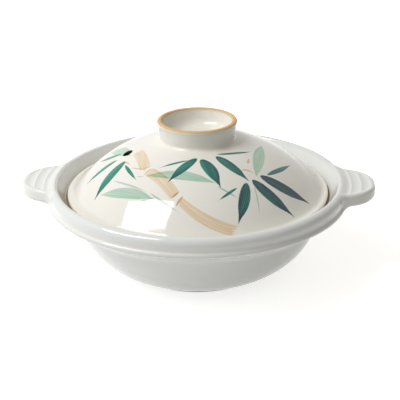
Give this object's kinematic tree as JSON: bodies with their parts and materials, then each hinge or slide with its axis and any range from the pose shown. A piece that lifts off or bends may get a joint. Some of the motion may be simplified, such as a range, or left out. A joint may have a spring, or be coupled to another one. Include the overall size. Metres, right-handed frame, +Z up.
{
  "type": "donabe clay pot",
  "caption": "Round glazed clay cooking pot with fluted ear handles and a loose domed lid that has a ring knob and a steam hole.",
  "frame": {"origin": "centre of the foot ring, on the surface that the pot stands on", "axes": "+Z up along the pot's axis, +X through the middle of the right ear, -Y towards the front"},
  "size_m": [0.276, 0.235, 0.1201],
  "materials": {
    "pot_glaze": "glossy white glaze with a cool tint",
    "lid_glaze": "glossy white glaze with a warm tint"
  },
  "bodies": {
    "pot": {"pot_bowl": "pot_glaze", "ear_left": "pot_glaze", "ear_right": "pot_glaze"},
    "lid": {"lid_dome": "lid_glaze", "lid_knob": "lid_glaze"}
  },
  "joints": [
    {"name": "lid_lift", "type": "slide", "parent": "pot", "child": "lid", "axis": [0, 0, 1], "range_m": [0, 0.15]}
  ]
}
